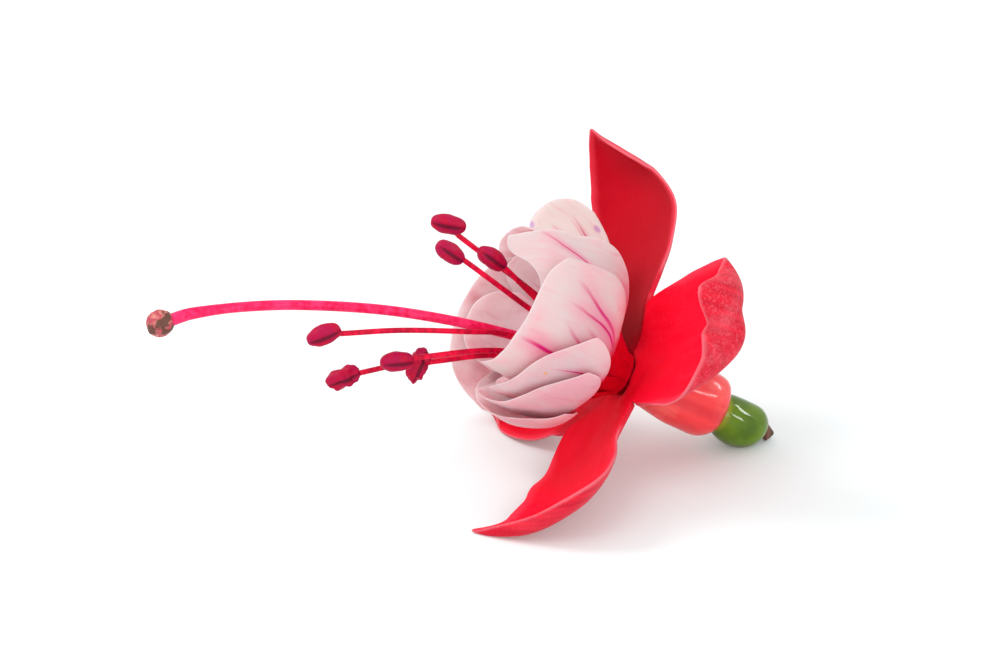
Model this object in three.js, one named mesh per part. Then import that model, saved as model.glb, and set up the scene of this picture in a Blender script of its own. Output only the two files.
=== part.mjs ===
// A double fuchsia flower, picked and lying on a flat surface: a green ovary, a hollow calyx tube
// with four spread red sepals, a swirled pale corolla of twelve petals, eight stamens and one
// long style. Millimetres, +Z up, z = 0 is the surface that the flower rests on.
//
// The parts are shaped in the flower's own frame, whose z runs along the flower's axis from the
// calyx mouth towards the stigma. Azimuths are degrees round that axis, measured from the side
// of the flower that lies uppermost towards +Y.
import * as THREE from 'three';

const axisRise = 30;
const mouthPlace = new THREE.Vector3(19.72, -0.05, 13);
const seatGap = 0.3;

const tubeLength = 14.9;
const tubeMouthRadius = 4.45;
const tubeWall = 0.65;
const ovaryLength = 7.6;
const ovaryRadius = 3.05;
const ovarySag = 0.5;
const stubLength = 1.5;

const sepalThickness = 1.0;
const petalThickness = 0.6;
const outerClawRadius = 3.1;
const innerClawRadius = 2.2;
const clawHalf = 0.5;
const filamentRadius = 0.34;
const filamentRing = 1.35;
const styleRadius = 0.6;
const stigmaRadius = 1.65;

const colours = {
  tube: 0xd8323f,
  ovary: 0x4c7a1e,
  stub: 0x6b4a26,
  sepal: 0xd6121f,
  petal: 0xf3dcdc,
  filament: 0xc40026,
  anther: 0xa3003c,
  style: 0xf03366,
  stigma: 0xb98a7c,
};

const toRadians = THREE.MathUtils.degToRad;
const smoothstep = THREE.MathUtils.smoothstep;

// the value at x of the smooth curve through hand-picked [x, value] points
function curveThrough(points, x) {
  let i = 0;
  while (i < points.length - 2 && x > points[i + 1][0]) i += 1;
  const [x0, y0] = points[i];
  const [x1, y1] = points[i + 1];
  const before = points[Math.max(i - 1, 0)];
  const after = points[Math.min(i + 2, points.length - 1)];
  const width = x1 - x0;
  const f = (x - x0) / width;
  const slope0 = ((y1 - before[1]) / (x1 - before[0])) * width;
  const slope1 = ((after[1] - y0) / (after[0] - x0)) * width;
  const f2 = f * f;
  const f3 = f2 * f;
  return (2 * f3 - 3 * f2 + 1) * y0 + (f3 - 2 * f2 + f) * slope0
    + (3 * f2 - 2 * f3) * y1 + (f3 - f2) * slope1;
}

// a flat [r, h] line drawn through points, measured by the distance along its chords
function profileLine(points) {
  const across = [];
  const along = [];
  let distance = 0;
  points.forEach(([r, h], i) => {
    if (i > 0) distance += Math.hypot(r - points[i - 1][0], h - points[i - 1][1]);
    across.push([distance, r]);
    along.push([distance, h]);
  });
  const at = (d) => [curveThrough(across, d), curveThrough(along, d)];
  return { length: distance, at };
}

// the surface z = 0 in the flower's own frame
const axisLean = toRadians(90 - axisRise);
const upLocal = new THREE.Vector3(Math.sin(axisLean), 0, Math.cos(axisLean));
const heightOf = (p) => mouthPlace.z + p.dot(upLocal);

// lifts a point that would sink below the given height above the surface
function lifted(p, lowest) {
  const short = lowest - heightOf(p);
  return short > 0 ? p.clone().addScaledVector(upLocal, short) : p;
}

function geometryFrom(positions, index) {
  const geometry = new THREE.BufferGeometry();
  geometry.setAttribute('position', new THREE.Float32BufferAttribute(positions, 3));
  geometry.setIndex(index);
  geometry.computeVertexNormals();
  return geometry;
}

// a closed blade of even thickness round the sheet surface(s, t): s runs from base to tip and
// t from one margin, -1, to the other, 1; inward is the face that looks along +normal
function bladeGeometry(surface, rows, columns, thickness) {
  const step = 1e-3;
  const inside = [];
  const outside = [];
  for (let i = 0; i <= rows; i += 1) {
    for (let j = 0; j <= columns; j += 1) {
      const s = i / rows;
      const t = (2 * j) / columns - 1;
      const s0 = Math.max(s - step, 0);
      const s1 = Math.min(s + step, 1);
      const t0 = Math.max(t - step, -1);
      const t1 = Math.min(t + step, 1);
      const along = surface(s1, t).sub(surface(s0, t));
      const across = surface(s, t1).sub(surface(s, t0));
      const normal = along.cross(across).normalize();
      const middle = surface(s, t);
      inside.push(lifted(middle.clone().addScaledVector(normal, thickness / 2), thickness));
      outside.push(lifted(middle.clone().addScaledVector(normal, -thickness / 2), 0));
    }
  }
  const positions = [...inside, ...outside].flatMap((p) => [p.x, p.y, p.z]);
  const shift = inside.length;
  const at = (i, j) => i * (columns + 1) + j;
  const index = [];
  for (let i = 0; i < rows; i += 1) {
    for (let j = 0; j < columns; j += 1) {
      const a = at(i, j);
      const b = at(i, j + 1);
      const c = at(i + 1, j + 1);
      const d = at(i + 1, j);
      index.push(a, c, b, a, d, c);
      index.push(a + shift, b + shift, c + shift, a + shift, c + shift, d + shift);
    }
  }
  const wall = (a, b) => index.push(a, b, b + shift, a, b + shift, a + shift);
  for (let j = 0; j < columns; j += 1) {
    wall(at(0, j), at(0, j + 1));
    wall(at(rows, j + 1), at(rows, j));
  }
  for (let i = 0; i < rows; i += 1) {
    wall(at(i, columns), at(i + 1, columns));
    wall(at(i + 1, 0), at(i, 0));
  }
  return geometryFrom(positions, index);
}

// a closed body of rings between two end points: pointAt(u, angle) with u from 0 to 1
function roundedGeometry(pointAt, rings, sides) {
  const points = [pointAt(0, 0)];
  for (let i = 1; i < rings; i += 1) {
    for (let j = 0; j < sides; j += 1) points.push(pointAt(i / rings, (j / sides) * 2 * Math.PI));
  }
  points.push(pointAt(1, 0));
  const last = points.length - 1;
  const at = (i, j) => 1 + (i - 1) * sides + (j % sides);
  const index = [];
  for (let j = 0; j < sides; j += 1) {
    index.push(0, at(1, j + 1), at(1, j));
    index.push(last, at(rings - 1, j), at(rings - 1, j + 1));
    for (let i = 1; i < rings - 1; i += 1) {
      index.push(at(i, j), at(i, j + 1), at(i + 1, j + 1));
      index.push(at(i, j), at(i + 1, j + 1), at(i + 1, j));
    }
  }
  return geometryFrom(points.flatMap((p) => [p.x, p.y, p.z]), index);
}

// a rod of the given radius along a curve, closed by a shallow point at both ends
function rodGeometry(path, radiusAt, steps, sides) {
  const curve = new THREE.CatmullRomCurve3(path);
  const frames = curve.computeFrenetFrames(steps, false);
  const rings = steps + 2;
  return roundedGeometry((u, angle) => {
    const ring = Math.round(u * rings);
    const step = THREE.MathUtils.clamp(ring - 1, 0, steps);
    const middle = curve.getPointAt(step / steps);
    if (ring === 0 || ring === rings) return middle;
    const radius = radiusAt(step / steps);
    middle.addScaledVector(frames.normals[step], radius * Math.cos(angle));
    return middle.addScaledVector(frames.binormals[step], radius * Math.sin(angle));
  }, rings, sides);
}

function addPiece(group, name, geometry, colour, roughness) {
  const material = new THREE.MeshStandardMaterial({ color: colour, roughness, metalness: 0 });
  const mesh = new THREE.Mesh(geometry, material);
  mesh.name = name;
  group.add(mesh);
}

const aroundAxis = (azimuth, r, h) => {
  const angle = toRadians(azimuth);
  return new THREE.Vector3(r * Math.cos(angle), r * Math.sin(angle), h);
};

// ---- calyx tube: a hollow trumpet with eight soft ribs and a pinhole for the style ----
function tubeGeometry() {
  const innerNeck = styleRadius + 0.35;
  const outer = [
    [2.4, -tubeLength], [3.7, -14.2], [4.4, -12.9], [4.5, -11.4], [4.2, -9], [3.6, -6.4],
    [3.05, -3.4], [3.4, -2.1], [tubeMouthRadius, -1.4], [tubeMouthRadius, -0.4],
  ];
  const inner = [
    [tubeMouthRadius - tubeWall, -0.4], [2.8, -1.8], [2.1, -3.4], [2.6, -6.4], [3.2, -9],
    [3.3, -11.4], [2.6, -13.2], [innerNeck, -14],
  ];
  const loop = [...outer, ...inner, [innerNeck, -tubeLength]];
  const sides = 32;
  const ribHeight = 0.16;
  const positions = [];
  loop.forEach(([r, w], k) => {
    for (let j = 0; j < sides; j += 1) {
      const angle = (j / sides) * 2 * Math.PI;
      const bulge = k > 0 && k < outer.length - 2 ? ribHeight * Math.cos(8 * angle) : 0;
      positions.push((r + bulge) * Math.cos(angle), (r + bulge) * Math.sin(angle), w);
    }
  });
  const index = [];
  const at = (k, j) => (k % loop.length) * sides + (j % sides);
  for (let k = 0; k < loop.length; k += 1) {
    for (let j = 0; j < sides; j += 1) {
      index.push(at(k, j), at(k, j + 1), at(k + 1, j + 1));
      index.push(at(k, j), at(k + 1, j + 1), at(k + 1, j));
    }
  }
  return geometryFrom(positions, index);
}

// ---- ovary and pedicel stub: egg-shaped, resting on one small flat spot ----
function ovaryGeometry() {
  const start = -tubeLength - seatGap;
  const outline = [[0, 2.2], [0.12, 2.55], [0.5, ovaryRadius], [0.8, 2.6], [0.95, 1.3], [1, 0.7]];
  return roundedGeometry((u, angle) => {
    const part = (1 - Math.cos(Math.PI * u)) / 2;
    const w = start - part * ovaryLength;
    if (u === 0 || u === 1) return new THREE.Vector3(0, 0, w);
    const r = curveThrough(outline, part);
    const sag = ovarySag * Math.sin(Math.PI * part);
    return lifted(new THREE.Vector3(r * Math.cos(angle) - sag, -r * Math.sin(angle), w), 0);
  }, 14, 24);
}

function stubGeometry() {
  const start = -tubeLength - ovaryLength - 2 * seatGap;
  const path = [
    new THREE.Vector3(0, 0, start),
    new THREE.Vector3(0.05, 0, start - stubLength / 2),
    new THREE.Vector3(0.2, 0, start - stubLength),
  ];
  return rodGeometry(path, (u) => 1 - 0.7 * u, 4, 8);
}

// ---- sepals ----
// line: the midrib as [distance from the axis, height along it]. The rest is given against the
// share of the midrib's length. cup: degrees that each half curls towards the inner face. roll:
// degrees that the blade turns about its midrib. halves: half widths. sway: the midrib's sideways
// drift. belly: how far the lower half bulges outwards. Next to the tube each blade keeps to its
// own quarter of the ring.
const sepals = [
  {
    name: 'sepal_upper', azimuth: 40.4,
    line: [[4.75, -0.9], [12, -1.5], [20, -0.8], [26, 1.6], [28.8, 5.2], [30.1, 9.1]],
    cup: [[0, 15], [0.1, 34], [0.2, 34], [0.35, 24], [0.5, 22], [0.7, 42], [1, 50]],
    roll: [[0, 0], [1, 0]],
    halves: [
      [0, 3.2], [0.05, 4.2], [0.1, 5.7], [0.15, 7.2], [0.2, 7.8], [0.35, 8.3], [0.45, 8.6], [0.55, 8.8],
      [0.68, 7.8], [0.78, 6], [0.85, 4.2], [0.92, 2.2], [1, 0.3],
    ],
    sway: [[0, 0], [0.2, 0], [0.35, -0.4], [0.55, -0.9], [0.68, -0.7], [0.78, 0.1], [0.92, 1], [1, 0]],
  },
  {
    name: 'sepal_near', azimuth: -49.6,
    line: [[4.75, -0.9], [12, -1.5], [20, -1.2], [24.9, -0.2], [26.6, 2.6], [26.1, 7.1]],
    cup: [[0, 15], [0.1, 48], [0.2, 40], [0.3, 28], [0.45, 24], [0.6, 38], [0.7, 64], [0.8, 82], [1, 75]],
    roll: [[0, 0], [0.1, -7], [0.3, -3], [0.6, -5], [0.8, -8], [1, 0]],
    halves: [
      [0, 3.2], [0.05, 4.2], [0.1, 5.8], [0.15, 7.5], [0.2, 8.3], [0.3, 9.4], [0.45, 9.2], [0.6, 7.8],
      [0.7, 6.9], [0.8, 5.9], [0.9, 3.8], [0.96, 2], [1, 0.3],
    ],
    belly: [[0, 0], [0.3, 0], [0.45, 1.4], [0.6, 2.6], [0.72, 2.1], [0.88, 0], [1, 0]],
    sway: [[0, 0], [0.2, 0], [0.3, 0.3], [0.45, 0.7], [0.6, 1.6], [0.7, 1.8], [0.8, 1.6], [1, 1]],
  },
  {
    name: 'sepal_front', azimuth: -139.6,
    line: [[4.75, -0.8], [11, 1], [17.6, 3.6], [22.4, 6.8], [25.1, 9.8], [25.3, 14]],
    cup: [[0, 15], [0.1, 36], [0.2, 36], [0.35, 24], [0.5, 32], [0.65, 44], [0.8, 54], [0.9, 62], [1, 70]],
    roll: [[0, 0], [0.1, 4], [0.3, 0], [0.6, -6], [1, -6]],
    halves: [
      [0, 3.2], [0.05, 4.2], [0.1, 5.7], [0.15, 7.1], [0.2, 7.2], [0.3, 7.5], [0.4, 8.1], [0.5, 8.2],
      [0.62, 7.6], [0.75, 6.3], [0.88, 3.6], [0.95, 1.8], [1, 0.3],
    ],
    sway: [[0, 0], [0.1, 0], [0.3, -0.6], [0.4, 0.3], [0.5, 1.5], [0.6, 2.6], [0.72, 3], [0.85, 0], [1, -6]],
  },
  {
    name: 'sepal_back', azimuth: 130.4,
    line: [[4.75, -0.9], [12, -1.8], [19.3, -0.7], [23.4, 2.2], [22.8, 7.2]],
    cup: [[0, 15], [0.1, 36], [0.3, 40], [0.6, 60], [1, 60]],
    roll: [[0, 0], [1, 0]],
    halves: [
      [0, 3.2], [0.05, 4.2], [0.1, 5.7], [0.15, 6.8], [0.28, 7], [0.45, 7.6], [0.62, 7], [0.75, 5.4],
      [0.88, 2.6], [1, 0.3],
    ],
    sway: [[0, 0], [0.1, 0], [0.2, -0.8], [0.5, -0.6], [1, -1.4]],
  },
];

function sepalSurface({ azimuth, line, halves, sway, cup, roll, belly = [[0, 0], [1, 0]] }) {
  const midrib = profileLine(line);
  const step = 0.05;
  return (s, t) => {
    const d = s * midrib.length;
    const [r, h] = midrib.at(d);
    const [r1, h1] = midrib.at(Math.min(d + step, midrib.length));
    const [r0, h0] = midrib.at(Math.max(d - step, 0));
    const slope = Math.atan2(h1 - h0, r1 - r0);
    const half = curveThrough(halves, s);
    const bend = toRadians(curveThrough(cup, s));
    const turn = toRadians(curveThrough(roll, s));
    const flat = (half * Math.sin(bend * t)) / bend;
    const bulging = smoothstep(-t, 0, 0.6) * (1 - smoothstep(-t, 0.65, 1));
    const raised = (half * (1 - Math.cos(bend * t))) / bend - curveThrough(belly, s) * bulging;
    const across = flat * Math.cos(turn) - raised * Math.sin(turn) + curveThrough(sway, s);
    const lift = flat * Math.sin(turn) + raised * Math.cos(turn);
    const out = r - lift * Math.sin(slope);
    const inward = out - Math.sqrt(Math.max(out * out - across * across, 0));
    const reach = out - inward * (1 - smoothstep(s, 0, 0.25));
    const angle = toRadians(azimuth);
    return new THREE.Vector3(
      reach * Math.cos(angle) - across * Math.sin(angle),
      reach * Math.sin(angle) + across * Math.cos(angle),
      h + lift * Math.cos(slope),
    );
  };
}

// ---- corolla ----
// The petals wrap each other like a swirl: each one's margin on its higher-azimuth side lies
// outermost and its other margin is tucked in deepest, by tuck millimetres. half: degrees from a
// petal's middle to either margin. rim: the share of the line's length at which the petal ends,
// from its inner margin (-1) to its outer one (1). size: its radius against that of the whole
// corolla. claw: azimuth of its foot. wide: the distance from its foot at which it is fully wide.
const corollaLine = [
  [outerClawRadius, -0.2], [3.3, 0.8], [5.2, 1.8], [8.4, 3.6], [11.2, 6.6], [12.4, 10.6], [12.4, 15],
  [12, 19], [11.4, 22.5],
];
const rollingLine = [
  [outerClawRadius, -0.2], [3.3, 0.8], [5.2, 1.8], [8.4, 3.6], [11.2, 6.6], [12.4, 10.6], [12.1, 15],
  [11, 19], [9.4, 22.5],
];
const innerLine = [
  [innerClawRadius, -0.2], [2.3, 1.6], [2.9, 4], [4.6, 6.6], [6.6, 9.4], [8.2, 12.6], [9, 16], [9.2, 19],
];
const flaredLine = [
  [outerClawRadius, -0.2], [3.7, 0.3], [6.5, 1.2], [10, 2.9], [13.6, 5.4], [16.2, 8.9], [17.2, 12.4],
];
const meanBulge = 1.07;
const upperBulge = 0.13;
const bulgeAzimuth = 14;
const footRise = 2.6;
const footAzimuth = 30;

const petals = [
  {
    name: 'petal_front', azimuth: -78, half: 51, tuck: 4.1, wide: 16, size: 0.97,
    rim: [[-1, 0.94], [-0.5, 0.94], [0, 0.94], [0.5, 0.93], [0.8, 0.9], [1, 0.82]],
  },
  {
    name: 'petal_low_first', azimuth: -118, half: 54, claw: -109, tuck: 4, turn: 0.7, wide: 18,
    rim: [[-1, 0.65], [-0.6, 0.81], [0, 0.84], [0.6, 0.79], [1, 0.62]],
  },
  {
    name: 'petal_low_second', azimuth: -144, half: 61, claw: -142, tuck: 3.2, turn: 0.76, wide: 14,
    rim: [[-1, 0.62], [-0.6, 0.77], [0, 0.8], [0.6, 0.74], [1, 0.58]],
  },
  {
    name: 'petal_low_third', azimuth: -170, half: 56, claw: -174, tuck: 2.2,
    rim: [[-1, 0.57], [-0.6, 0.7], [0, 0.73], [0.6, 0.68], [1, 0.53]],
  },
  {
    name: 'petal_far', azimuth: 112, half: 58, tuck: 2.2,
    rim: [[-1, 0.66], [-0.6, 0.79], [0, 0.83], [0.6, 0.79], [1, 0.66]],
  },
  {
    name: 'petal_upper', azimuth: 28, half: 52, tuck: 4, turn: 1.5, size: 0.98,
    rim: [[-1, 0.67], [-0.6, 0.8], [0, 0.84], [0.6, 0.8], [1, 0.67]],
  },
  {
    name: 'petal_upper_front', azimuth: -47, half: 48, claw: -46, line: rollingLine, tuck: 4.4, turn: 0.5,
    size: 0.98, rim: [[-1, 0.6], [0, 0.84], [0.3, 0.86], [0.6, 0.92], [0.8, 1], [1, 1.02]],
  },
  {
    name: 'petal_top', azimuth: 53, half: 18, claw: 62, line: flaredLine,
    rim: [[-1, 0.76], [-0.6, 0.92], [0, 0.97], [0.6, 0.94], [1, 0.78]],
  },
  {
    name: 'petal_inner_upper', azimuth: 52, half: 32, line: innerLine, tuck: 0.6, size: 1.03,
    rim: [[-1, 0.64], [-0.6, 0.81], [0, 0.86], [0.6, 0.81], [1, 0.64]],
  },
  {
    name: 'petal_inner_far', azimuth: 112, half: 40, line: innerLine, tuck: 1.2,
    rim: [[-1, 0.71], [-0.6, 0.9], [0, 0.95], [0.6, 0.9], [1, 0.71]],
  },
  {
    name: 'petal_inner_low', azimuth: -165, half: 38, line: innerLine, tuck: 0.3, size: 0.89,
    rim: [[-1, 0.6], [-0.6, 0.76], [0, 0.8], [0.6, 0.76], [1, 0.6]],
  },
  {
    name: 'petal_inner_near', azimuth: -85, half: 38, line: innerLine, tuck: 0.6, size: 0.86,
    rim: [[-1, 0.6], [-0.6, 0.76], [0, 0.8], [0.6, 0.76], [1, 0.6]],
  },
];

function petalSurface({
  azimuth, half, rim, claw = azimuth, line = corollaLine, tuck = 0, turn = 1, size = 1, wide = 11,
}) {
  const midrib = profileLine(line);
  const clawSpan = (clawHalf / line[0][0]) * (180 / Math.PI);
  return (s, t) => {
    const d = s * curveThrough(rim, t) * midrib.length;
    const [r, h] = midrib.at(d);
    const span = clawSpan + (half - clawSpan) * smoothstep(d, 2, wide);
    const around = claw + (azimuth - claw) * smoothstep(d, 1, 8) + span * t;
    const ripple = upperBulge * Math.cos(toRadians(around - bulgeAzimuth));
    const bulge = 1 + (size * (meanBulge + ripple) - 1) * smoothstep(d, 2, 10);
    const depth = tuck * ((1 - t) / 2) ** turn * smoothstep(d, 1, 7);
    const fromFoot = Math.abs(((around - footAzimuth + 540) % 360) - 180);
    const rising = smoothstep(d, 1, 4.5) * (1 - smoothstep(d, 7, 16));
    const rise = footRise * smoothstep(fromFoot, 20, 70) * rising;
    return aroundAxis(around, r * bulge - depth, h + rise);
  };
}

// ---- stamens and style ----
// way: the points that a filament runs through after its root; the last is its upper end
const stamens = [
  { root: 40, way: [[4.4, 1.4, 13.8], [7.5, 2.9, 27.4]], middle: [8.3, 3.1, 29.4], along: [0.3, -0.4, -0.9] },
  { root: -50, way: [[3.2, -1, 15.6], [6, -1.9, 27.6]], middle: [6.3, -2, 30.1], along: [-0.2, 0.1, -1] },
  { root: -5, way: [[4.1, 0.2, 14], [6.4, 0.7, 20.6]], middle: [7, 0.6, 23.1], along: [-0.2, 0, -1] },
  {
    root: -95, way: [[-0.8, -1.1, 17.2], [-2.1, -1.6, 22.1], [-5, -2.5, 31.3], [-7.9, -3, 38.3]],
    middle: [-8.9, -3, 40.5], along: [0.75, -0.16, -0.66],
  },
  {
    root: 130, way: [[-3.5, 0.6, 15.9], [-7.1, 1.1, 22.8], [-12.9, 1.9, 30.8]],
    middle: [-14.4, 2, 32.7], along: [0.7, 0, -0.7],
  },
  {
    root: -140, way: [[-2.8, -2, 17.3], [-7.1, -3.6, 28]],
    middle: [-8.4, -4, 30.4], along: [0.4, 0.1, -0.9],
  },
  {
    root: 175, way: [[-3.9, -0.2, 16.2], [-7.5, -1.2, 24.5]],
    middle: [-8.5, -1.6, 26.3], along: [0.9, 0.2, 0],
  },
  { root: 85, way: [[0.9, 1.9, 7.5]], middle: [1.6, 2.8, 10], along: [-0.3, -0.33, -0.88] },
];
const antherHalfLength = 2.2;
const antherHalfWidth = 1.25;
const rootDepth = -2.8;

function filamentGeometry({ root, way }) {
  const path = [
    aroundAxis(root, filamentRing, rootDepth),
    aroundAxis(root, filamentRing, 0.2),
    aroundAxis(root, filamentRing + 0.2, 5),
    ...way.map(([x, y, z]) => new THREE.Vector3(x, y, z)),
  ];
  return rodGeometry(path, () => filamentRadius, 12, 6);
}

// a bean of two pollen sacs with a lengthwise groove between them
function antherGeometry({ middle, along }) {
  const axis = new THREE.Vector3(...along).normalize();
  const side = new THREE.Vector3(0, 1, 0).cross(axis).normalize();
  const up = side.clone().cross(axis);
  const centre = new THREE.Vector3(...middle);
  return roundedGeometry((u, angle) => {
    const polar = u * Math.PI;
    const groove = 1 - 0.16 * Math.max(Math.cos(angle), 0) ** 4;
    const radius = antherHalfWidth * Math.sin(polar) ** 0.8 * groove;
    const p = centre.clone().addScaledVector(axis, -antherHalfLength * Math.cos(polar));
    p.addScaledVector(up, radius * Math.cos(angle));
    return p.addScaledVector(side, radius * Math.sin(angle));
  }, 8, 10);
}

const stylePath = [
  [0, 0, -14.9], [0, 0, -6], [0, 0, 1], [-0.25, 0, 9], [-1, 0, 16.8], [-2.1, 0, 26], [-3, 0, 31.4],
  [-7.1, 0, 43.9], [-10.3, 0, 50.9], [-13.5, 0, 56.3], [-14.8, 0, 57.7],
];
const stigmaMiddle = new THREE.Vector3(-15.9, 0, 59.3);

function styleGeometry() {
  const path = stylePath.map(([x, y, z]) => new THREE.Vector3(x, y, z));
  return rodGeometry(path, (u) => styleRadius * (1 + 0.25 * smoothstep(u, 0.9, 1)), 28, 8);
}

// a knob of four blunt lobes
function stigmaGeometry() {
  return roundedGeometry((u, angle) => {
    const polar = u * Math.PI;
    const lobe = 1 + 0.07 * Math.cos(4 * angle) * Math.sin(polar) ** 2;
    const across = stigmaRadius * lobe * Math.sin(polar);
    const offset = new THREE.Vector3(
      across * Math.cos(angle), across * Math.sin(angle), -stigmaRadius * Math.cos(polar),
    );
    return stigmaMiddle.clone().add(offset);
  }, 8, 12);
}

const flower = new THREE.Group();
addPiece(flower, 'calyx_tube', tubeGeometry(), colours.tube, 0.35);
addPiece(flower, 'ovary', ovaryGeometry(), colours.ovary, 0.25);
addPiece(flower, 'pedicel_stub', stubGeometry(), colours.stub, 0.7);
sepals.forEach((sepal) => {
  const geometry = bladeGeometry(sepalSurface(sepal), 16, 8, sepalThickness);
  addPiece(flower, sepal.name, geometry, colours.sepal, 0.5);
});
petals.forEach((petal) => {
  const geometry = bladeGeometry(petalSurface(petal), 12, 8, petalThickness);
  addPiece(flower, petal.name, geometry, colours.petal, 0.55);
});
stamens.forEach((stamen, i) => {
  addPiece(flower, `filament_${i + 1}`, filamentGeometry(stamen), colours.filament, 0.4);
  addPiece(flower, `anther_${i + 1}`, antherGeometry(stamen), colours.anther, 0.45);
});
addPiece(flower, 'style', styleGeometry(), colours.style, 0.4);
addPiece(flower, 'stigma', stigmaGeometry(), colours.stigma, 0.7);

flower.rotation.y = -axisLean;
flower.position.copy(mouthPlace);

const group = new THREE.Group();
group.add(flower);

export default group;
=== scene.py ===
import math

import bmesh
import bpy
from mathutils import Matrix, Quaternion, Vector, noise


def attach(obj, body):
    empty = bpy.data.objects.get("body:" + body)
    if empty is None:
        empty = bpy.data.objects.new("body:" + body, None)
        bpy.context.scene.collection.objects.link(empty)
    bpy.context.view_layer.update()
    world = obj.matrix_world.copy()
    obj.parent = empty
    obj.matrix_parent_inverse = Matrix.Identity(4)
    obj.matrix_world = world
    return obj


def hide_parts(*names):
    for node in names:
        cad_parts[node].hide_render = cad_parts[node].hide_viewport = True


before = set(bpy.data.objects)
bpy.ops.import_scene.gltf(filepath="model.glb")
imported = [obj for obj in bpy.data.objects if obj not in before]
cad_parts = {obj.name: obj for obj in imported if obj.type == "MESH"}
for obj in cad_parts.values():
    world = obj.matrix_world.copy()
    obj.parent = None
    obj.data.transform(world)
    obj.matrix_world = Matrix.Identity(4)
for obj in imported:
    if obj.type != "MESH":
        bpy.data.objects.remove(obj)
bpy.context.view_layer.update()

# Shapes are worked out in millimetres in the flower's own frame: z runs along its axis from the
# calyx mouth towards the stigma, and azimuths are degrees round that axis from its upper side.
pose = {
    'axisRise': 30,
    'mouth': (19.72, -0.05, 13),
    'metresPerMm': 0.001,
}
lean = math.radians(90 - pose['axisRise'])
upLocal = Vector((math.sin(lean), 0, math.cos(lean)))
toWorld = (Matrix.Translation(Vector(pose['mouth']) * pose['metresPerMm'])
           @ Matrix.Rotation(-lean, 4, 'Y') @ Matrix.Scale(pose['metresPerMm'], 4))


def smooth(x, low, high):
    f = min(max((x - low) / (high - low), 0), 1)
    return f * f * (3 - 2 * f)


# the value at x of the smooth curve through given (x, value) points
def curveThrough(points, x):
    i = 0
    while i < len(points) - 2 and x > points[i + 1][0]:
        i += 1
    (x0, y0), (x1, y1) = points[i], points[i + 1]
    before = points[max(i - 1, 0)]
    after = points[min(i + 2, len(points) - 1)]
    width = x1 - x0
    f = (x - x0) / width
    slope0 = (y1 - before[1]) / (x1 - before[0]) * width
    slope1 = (after[1] - y0) / (after[0] - x0) * width
    return ((2 * f**3 - 3 * f**2 + 1) * y0 + (f**3 - 2 * f**2 + f) * slope0
            + (3 * f**2 - 2 * f**3) * y1 + (f**3 - f**2) * slope1)


# a flat line of points, read by the distance along its chords
class ProfileLine:
    def __init__(self, points):
        self.across, self.along = [], []
        self.length = 0
        for i, (r, h) in enumerate(points):
            if i:
                self.length += math.hypot(r - points[i - 1][0], h - points[i - 1][1])
            self.across.append((self.length, r))
            self.along.append((self.length, h))

    def at(self, d):
        return curveThrough(self.across, d), curveThrough(self.along, d)


def aroundAxis(azimuth, r, h):
    angle = math.radians(azimuth)
    return Vector((r * math.cos(angle), r * math.sin(angle), h))


# lifts a point that would sink below the given height above the surface
def lifted(p, lowest):
    short = lowest - (pose['mouth'][2] + p.dot(upLocal))
    return p + upLocal * short if short > 0 else p


# smooth noise from about -1 to 1
def ripple(p, scale, seed):
    return noise.noise(Vector(p) * scale + Vector((seed, 0, 0)))


# a piece made from a grid whose rows run from base to tip and whose columns run across or round;
# placeAt(u, v) gives a vertex's place and the marks that its material reads
def gridPiece(name, placeAt, rows, columns, closed=False):
    form = bmesh.new()
    bmesh.ops.create_grid(form, x_segments=columns, y_segments=rows, size=0.5)
    placed = [placeAt(vert.co.y + 0.5, vert.co.x + 0.5) for vert in form.verts]
    for mark in placed[0][1]:
        layer = form.verts.layers.float.new(mark)
        for vert, (_, marks) in zip(form.verts, placed):
            vert[layer] = marks[mark]
    for vert, (place, _) in zip(form.verts, placed):
        vert.co = place
    if closed:
        bmesh.ops.remove_doubles(form, verts=form.verts, dist=1e-4)
        bmesh.ops.recalc_face_normals(form, faces=form.faces)
    bmesh.ops.transform(form, matrix=toWorld, verts=form.verts)
    for face in form.faces:
        face.smooth = True
    mesh = bpy.data.meshes.new(name)
    form.to_mesh(mesh)
    form.free()
    piece = bpy.data.objects.new(name, mesh)
    bpy.context.scene.collection.objects.link(piece)
    return piece


# gives a sheet its two faces: material 0 outside, material 1 inside, thinner where body is low
def giveThickness(piece, thickness, thinnest):
    group = piece.vertex_groups.new(name='body')
    for i, value in enumerate(piece.data.attributes['body'].data):
        group.add([i], value.value, 'REPLACE')
    shell = piece.modifiers.new('Thickness', 'SOLIDIFY')
    shell.thickness = thickness * pose['metresPerMm']
    shell.offset = 0
    shell.vertex_group = group.name
    shell.thickness_vertex_group = thinnest
    shell.material_offset = 1
    rounding = piece.modifiers.new('Rounding', 'SUBSURF')
    rounding.levels = rounding.render_levels = 1


def finishPiece(piece, nodes, materials):
    for material in materials:
        piece.data.materials.append(material)
    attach(piece, 'root')
    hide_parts(*nodes)


# a shader socket that arithmetic can be written on: each operator adds one Math node
class Wire:
    def __init__(self, shader, socket):
        self.shader = shader
        self.socket = socket

    def __add__(self, other):
        return self.shader.maths('ADD', self, other)

    def __sub__(self, other):
        return self.shader.maths('SUBTRACT', self, other)

    def __rsub__(self, other):
        return self.shader.maths('SUBTRACT', other, self)

    def __mul__(self, other):
        return self.shader.maths('MULTIPLY', self, other)

    def __abs__(self):
        return self.shader.maths('ABSOLUTE', self, 0)

    __radd__ = __add__
    __rmul__ = __mul__


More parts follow.
